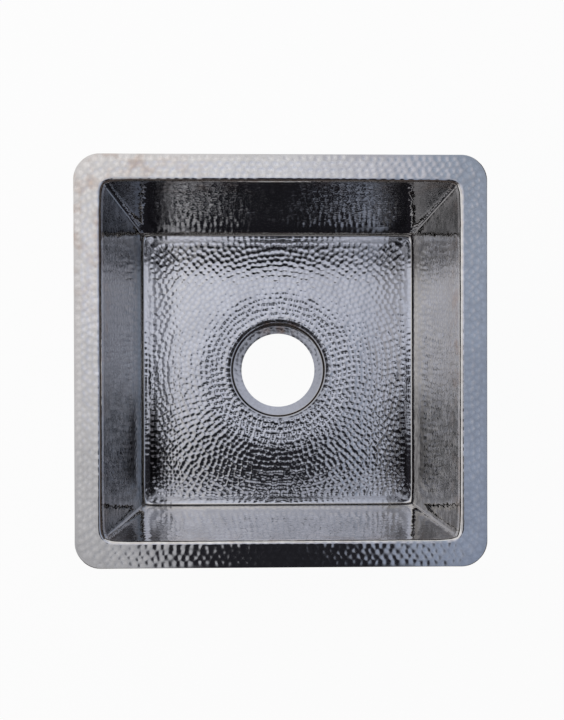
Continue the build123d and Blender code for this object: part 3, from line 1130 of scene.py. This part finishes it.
def silkMaterial():
    # Overhead silk, brightest at the back left, bluer and dimmer to the right, with the flag's shadow
    made, add = newMaterial("overhead_silk")
    at = add("ShaderNodeTexCoord").outputs["Object"]
    parts = add("ShaderNodeSeparateXYZ", {"Vector": at}).outputs
    # Tones from left to right, at the front and at the back
    low, high = studio["silkDeep"]
    depth = add("ShaderNodeMapRange", {"Value": parts["Y"], "From Min": low, "From Max": high})
    low, high = studio["silkAcross"]
    width = add("ShaderNodeMapRange", {"Value": parts["X"], "From Min": low, "From Max": high})
    ramps = []
    for tones in (studio["frontTones"], studio["backTones"]):
        ramp = add("ShaderNodeValToRGB", {0: width})
        stops = ramp.color_ramp.elements
        for place, colour in tones.items():
            ends = {0.0: 0, 1.0: -1}
            stop = stops[ends[place]] if place in ends else stops.new(place)
            stop.color = hexColour(colour)
        ramps.append(ramp)
    plain = add("ShaderNodeMix", {0: depth, 6: ramps[0], 7: ramps[1]}, data_type="RGBA")
    # Daylight, which fades outwards from its place
    flat = add("ShaderNodeVectorMath", {0: at, 1: (1.0, 1.0, 0.0)}, operation="MULTIPLY")
    off = add("ShaderNodeVectorMath", {0: flat, 1: studio["skyPlace"]}, operation="DISTANCE")
    low, high = studio["skyReach"]
    sky = add("ShaderNodeMapRange", {"Value": off.outputs["Value"], "From Min": low, "From Max": high},
              interpolation_type="SMOOTHSTEP")
    tinted = add("ShaderNodeMix", {0: sky, 6: plain.outputs[2], 7: studio["skyTint"]},
                 data_type="RGBA", blend_type="MULTIPLY")
    crease = add("ShaderNodeTexNoise", {"Vector": at, "Scale": 1 / studio["wrinkleSize"], "Detail": 2.0})
    low, high = studio["wrinkleNoise"]
    wrinkled = add("ShaderNodeMapRange",
                   {"Value": crease, "From Min": low, "From Max": high, "To Min": 1 - studio["wrinkles"],
                    "To Max": 1 + studio["wrinkles"]})
    tone = add("ShaderNodeVectorMath", {0: tinted.outputs[2], "Scale": wrinkled}, operation="SCALE")
    # Where the flag is: sideways runs from -1 to 1 across it, and backwards rises over its rounded part
    breadth = add("ShaderNodeMath", {0: parts["Y"], 1: -studio["flagSplay"], 2: studio["flagHalf"]},
                  operation="MULTIPLY_ADD")
    middle = add("ShaderNodeMath", {0: parts["Y"], 1: studio["flagLean"], 2: studio["flagMiddle"]},
                 operation="MULTIPLY_ADD")
    beside = add("ShaderNodeMath", {0: parts["X"], 1: middle}, operation="SUBTRACT")
    sideways = add("ShaderNodeMath", {0: beside, 1: breadth}, operation="DIVIDE")
    low, high = studio["flagBack"] - studio["flagRound"], studio["flagBack"] + studio["flagRound"]
    backwards = add("ShaderNodeMapRange",
                    {"Value": parts["Y"], "From Min": low, "From Max": high, "To Max": 2.0})
    spot = add("ShaderNodeCombineXYZ", {"X": sideways, "Y": backwards})
    apart = add("ShaderNodeVectorMath", {0: spot}, operation="LENGTH")
    least, most = studio["flagSoft"]
    softness = add("ShaderNodeMapRange",
                   {"Value": sideways, "From Max": studio["flagSoftAt"], "To Min": least, "To Max": most})
    inner = add("ShaderNodeMath", {0: 1.0, 1: softness}, operation="SUBTRACT")
    outer = add("ShaderNodeMath", {0: 1.0, 1: softness}, operation="ADD")
    flag = add("ShaderNodeMapRange", {"Value": apart.outputs["Value"], "From Min": outer, "From Max": inner},
               interpolation_type="SMOOTHSTEP")
    # Where the silk ends
    ends = []
    for axis, edge, soft in (("X", studio["silkRight"], studio["silkEdge"]),
                             ("Y", studio["silkFront"], -studio["silkEdge"])):
        ends.append(add("ShaderNodeMapRange",
                        {"Value": parts[axis], "From Min": edge - soft, "From Max": edge + soft},
                        interpolation_type="SMOOTHSTEP"))
    ended = add("ShaderNodeMath", {0: ends[0], 1: ends[1]}, operation="MAXIMUM")
    beyond = add("ShaderNodeMix", {0: ended, 6: tone, 7: hexColour(studio["beyondColour"])},
                 data_type="RGBA")
    flagged = add("ShaderNodeMix", {0: flag, 6: beyond.outputs[2], 7: hexColour(studio["flagColour"])},
                  data_type="RGBA")
    glow = add("ShaderNodeEmission", {"Color": flagged.outputs[2], "Strength": 1.0})
    add("ShaderNodeOutputMaterial", {"Surface": glow})
    return made


def lensMaterial():
    # Black in the middle and clear outside a soft oval
    made, add = newMaterial("black_camera")
    at = add("ShaderNodeTexCoord").outputs["Object"]
    centred = add("ShaderNodeVectorMath", {0: at, 1: studio["lensPlace"]}, operation="SUBTRACT")
    scaled = add("ShaderNodeVectorMath", {0: centred, 1: (*studio["lensHalf"], 1.0)}, operation="DIVIDE")
    apart = add("ShaderNodeVectorMath", {0: scaled}, operation="LENGTH")
    low, high = studio["lensEdge"]
    shown = add("ShaderNodeMapRange", {"Value": apart.outputs["Value"], "From Min": low, "From Max": high},
                interpolation_type="SMOOTHSTEP")
    clear = add("ShaderNodeBsdfTransparent")
    glow = add("ShaderNodeEmission", {"Color": hexColour(studio["lensColour"])})
    both = add("ShaderNodeMixShader", {0: shown, 1: clear, 2: glow})
    add("ShaderNodeOutputMaterial", {"Surface": both})
    return made


def clothMaterial():
    # Dark cloth, one even tone, which shows only in the metal
    made, add = newMaterial("dark_cloth")
    glow = add("ShaderNodeEmission", {"Color": hexColour(studio["clothColour"])})
    add("ShaderNodeOutputMaterial", {"Surface": glow})
    return made


high, reach = studio["silkHeight"], studio["clothReach"]
paperHalf, paperZ = studio["floorSize"] / 2, cadBox[0].z - studio["floorDrop"]
card("paper_floor", levelCard(0, 0, paperZ, paperHalf, paperHalf), paperFloor(), seen=True)
card("overhead_silk", levelCard(0, 0, high, studio["silkHalf"], studio["silkHalf"]), silkMaterial())
lensWide, lensDeep = (studio["lensCard"] * half for half in studio["lensHalf"])
card("black_camera", levelCard(*studio["lensPlace"], lensWide, lensDeep), lensMaterial())
cloth = clothMaterial()
for name, start, end in (("front_cloth", (-reach, -reach), (reach, -reach)),
                         ("right_cloth", (reach, -reach), (reach, reach))):
    card(name, uprightCard(start, end, studio["clothLow"], high), cloth)

world = bpy.data.worlds.new("white_surroundings")
bpy.context.scene.world = world
world.use_nodes = True
world.node_tree.nodes["Background"].inputs["Color"].default_value = hexColour(studio["white"])
world.node_tree.nodes["Background"].inputs["Strength"].default_value = 1.0
print("studio set")

# Camera, solved from the corners, the mouth, the floor and the drain in the photograph

view = {
    "place": (-13.88, -33.97, 759.01),     # millimetres
    "turn": (-0.286, -0.899, -0.14),       # degrees about X, Y and Z, as one rotation vector
    "focalPixels": 620.67,
    "centrePixel": (276.4, 401.16),        # where the lens axis meets the picture
    "picture": (564, 720),
    "filmWidth": 36.0,                     # millimetres
    "clipFrom": 10.0,
}
camera = bpy.data.objects.new("camera", bpy.data.cameras.new("camera"))
bpy.context.scene.collection.objects.link(camera)
bpy.context.scene.camera = camera
turn = Vector(view["turn"]) * math.radians(1)
camera.matrix_world = Matrix.Translation(Vector(view["place"]) * mm) @ Matrix.Rotation(turn.length, 4, turn)
longSide = max(view["picture"])
camera.data.sensor_width = view["filmWidth"]
camera.data.lens = view["focalPixels"] / longSide * view["filmWidth"]
camera.data.shift_x = (view["picture"][0] / 2 - view["centrePixel"][0]) / longSide
camera.data.shift_y = (view["centrePixel"][1] - view["picture"][1] / 2) / longSide
camera.data.clip_start = view["clipFrom"] * mm

bpy.context.scene.view_settings.view_transform = "Standard"
